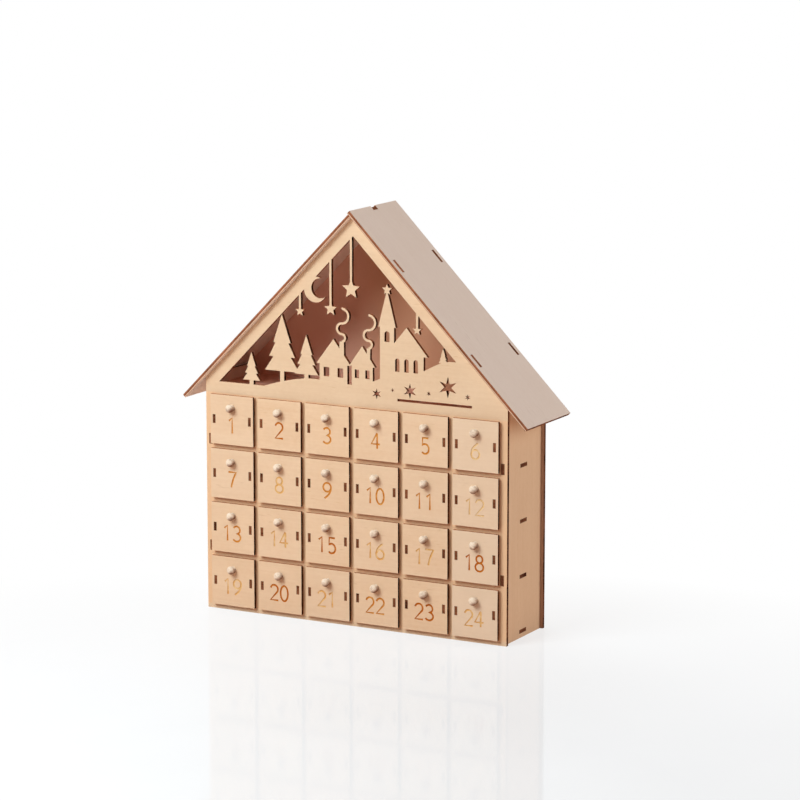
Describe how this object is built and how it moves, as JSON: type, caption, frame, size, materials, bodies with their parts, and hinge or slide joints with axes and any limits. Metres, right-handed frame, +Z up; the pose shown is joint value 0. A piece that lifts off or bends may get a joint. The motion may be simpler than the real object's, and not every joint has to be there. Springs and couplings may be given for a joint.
{
  "type": "wooden advent calendar",
  "caption": "House-shaped plywood advent calendar with numbered pull-out drawers under a pierced gable and a pitched roof.",
  "frame": {"origin": "on the surface that the house stands on, under the middle of the whole box", "axes": "+Z up, +X to the right seen from the front, and the drawers open towards -Y"},
  "size_m": [0.265, 0.0696, 0.285],
  "materials": {
    "front_ply": "bare plywood, sanded",
    "house_ply": "bare plywood, sanded",
    "roof_ply": "bare plywood, sanded",
    "drawer_ply": "bare plywood, sanded",
    "knob_wood": "turned wood, bare"
  },
  "bodies": {
    "house": {"front_panel": "front_ply", "back_panel": "house_ply", "left_side_panel": "house_ply", "right_side_panel": "house_ply", "bottom_board": "house_ply", "lower_shelf": "house_ply", "middle_shelf": "house_ply", "upper_shelf": "house_ply", "attic_floor": "house_ply", "dividers": "house_ply", "left_roof_panel": "roof_ply", "right_roof_panel": "roof_ply"},
    "pull_01": {"drawer_01": "drawer_ply", "knob_01": "knob_wood"},
    "pull_02": {"drawer_02": "drawer_ply", "knob_02": "knob_wood"},
    "pull_03": {"drawer_03": "drawer_ply", "knob_03": "knob_wood"},
    "pull_04": {"drawer_04": "drawer_ply", "knob_04": "knob_wood"},
    "pull_05": {"drawer_05": "drawer_ply", "knob_05": "knob_wood"},
    "pull_06": {"drawer_06": "drawer_ply", "knob_06": "knob_wood"},
    "pull_07": {"drawer_07": "drawer_ply", "knob_07": "knob_wood"},
    "pull_08": {"drawer_08": "drawer_ply", "knob_08": "knob_wood"},
    "pull_09": {"drawer_09": "drawer_ply", "knob_09": "knob_wood"},
    "pull_10": {"drawer_10": "drawer_ply", "knob_10": "knob_wood"},
    "pull_11": {"drawer_11": "drawer_ply", "knob_11": "knob_wood"},
    "pull_12": {"drawer_12": "drawer_ply", "knob_12": "knob_wood"},
    "pull_13": {"drawer_13": "drawer_ply", "knob_13": "knob_wood"},
    "pull_14": {"drawer_14": "drawer_ply", "knob_14": "knob_wood"},
    "pull_15": {"drawer_15": "drawer_ply", "knob_15": "knob_wood"},
    "pull_16": {"drawer_16": "drawer_ply", "knob_16": "knob_wood"},
    "pull_17": {"drawer_17": "drawer_ply", "knob_17": "knob_wood"},
    "pull_18": {"drawer_18": "drawer_ply", "knob_18": "knob_wood"},
    "pull_19": {"drawer_19": "drawer_ply", "knob_19": "knob_wood"},
    "pull_20": {"drawer_20": "drawer_ply", "knob_20": "knob_wood"},
    "pull_21": {"drawer_21": "drawer_ply", "knob_21": "knob_wood"},
    "pull_22": {"drawer_22": "drawer_ply", "knob_22": "knob_wood"},
    "pull_23": {"drawer_23": "drawer_ply", "knob_23": "knob_wood"},
    "pull_24": {"drawer_24": "drawer_ply", "knob_24": "knob_wood"}
  },
  "joints": [
    {"name": "drawer_01_slide", "type": "slide", "parent": "house", "child": "pull_01", "axis": [0, -1, 0], "range_m": [-0.001, 0.042]},
    {"name": "drawer_02_slide", "type": "slide", "parent": "house", "child": "pull_02", "axis": [0, -1, 0], "range_m": [-0.001, 0.042]},
    {"name": "drawer_03_slide", "type": "slide", "parent": "house", "child": "pull_03", "axis": [0, -1, 0], "range_m": [-0.001, 0.042]},
    {"name": "drawer_04_slide", "type": "slide", "parent": "house", "child": "pull_04", "axis": [0, -1, 0], "range_m": [-0.001, 0.042]},
    {"name": "drawer_05_slide", "type": "slide", "parent": "house", "child": "pull_05", "axis": [0, -1, 0], "range_m": [-0.001, 0.042]},
    {"name": "drawer_06_slide", "type": "slide", "parent": "house", "child": "pull_06", "axis": [0, -1, 0], "range_m": [-0.001, 0.042]},
    {"name": "drawer_07_slide", "type": "slide", "parent": "house", "child": "pull_07", "axis": [0, -1, 0], "range_m": [-0.001, 0.042]},
    {"name": "drawer_08_slide", "type": "slide", "parent": "house", "child": "pull_08", "axis": [0, -1, 0], "range_m": [-0.001, 0.042]},
    {"name": "drawer_09_slide", "type": "slide", "parent": "house", "child": "pull_09", "axis": [0, -1, 0], "range_m": [-0.001, 0.042]},
    {"name": "drawer_10_slide", "type": "slide", "parent": "house", "child": "pull_10", "axis": [0, -1, 0], "range_m": [-0.001, 0.042]},
    {"name": "drawer_11_slide", "type": "slide", "parent": "house", "child": "pull_11", "axis": [0, -1, 0], "range_m": [-0.001, 0.042]},
    {"name": "drawer_12_slide", "type": "slide", "parent": "house", "child": "pull_12", "axis": [0, -1, 0], "range_m": [-0.001, 0.042]},
    {"name": "drawer_13_slide", "type": "slide", "parent": "house", "child": "pull_13", "axis": [0, -1, 0], "range_m": [-0.001, 0.042]},
    {"name": "drawer_14_slide", "type": "slide", "parent": "house", "child": "pull_14", "axis": [0, -1, 0], "range_m": [-0.001, 0.042]},
    {"name": "drawer_15_slide", "type": "slide", "parent": "house", "child": "pull_15", "axis": [0, -1, 0], "range_m": [-0.001, 0.042]},
    {"name": "drawer_16_slide", "type": "slide", "parent": "house", "child": "pull_16", "axis": [0, -1, 0], "range_m": [-0.001, 0.042]},
    {"name": "drawer_17_slide", "type": "slide", "parent": "house", "child": "pull_17", "axis": [0, -1, 0], "range_m": [-0.001, 0.042]},
    {"name": "drawer_18_slide", "type": "slide", "parent": "house", "child": "pull_18", "axis": [0, -1, 0], "range_m": [-0.001, 0.042]},
    {"name": "drawer_19_slide", "type": "slide", "parent": "house", "child": "pull_19", "axis": [0, -1, 0], "range_m": [-0.001, 0.042]},
    {"name": "drawer_20_slide", "type": "slide", "parent": "house", "child": "pull_20", "axis": [0, -1, 0], "range_m": [-0.001, 0.042]},
    {"name": "drawer_21_slide", "type": "slide", "parent": "house", "child": "pull_21", "axis": [0, -1, 0], "range_m": [-0.001, 0.042]},
    {"name": "drawer_22_slide", "type": "slide", "parent": "house", "child": "pull_22", "axis": [0, -1, 0], "range_m": [-0.001, 0.042]},
    {"name": "drawer_23_slide", "type": "slide", "parent": "house", "child": "pull_23", "axis": [0, -1, 0], "range_m": [-0.001, 0.042]},
    {"name": "drawer_24_slide", "type": "slide", "parent": "house", "child": "pull_24", "axis": [0, -1, 0], "range_m": [-0.001, 0.042]}
  ]
}
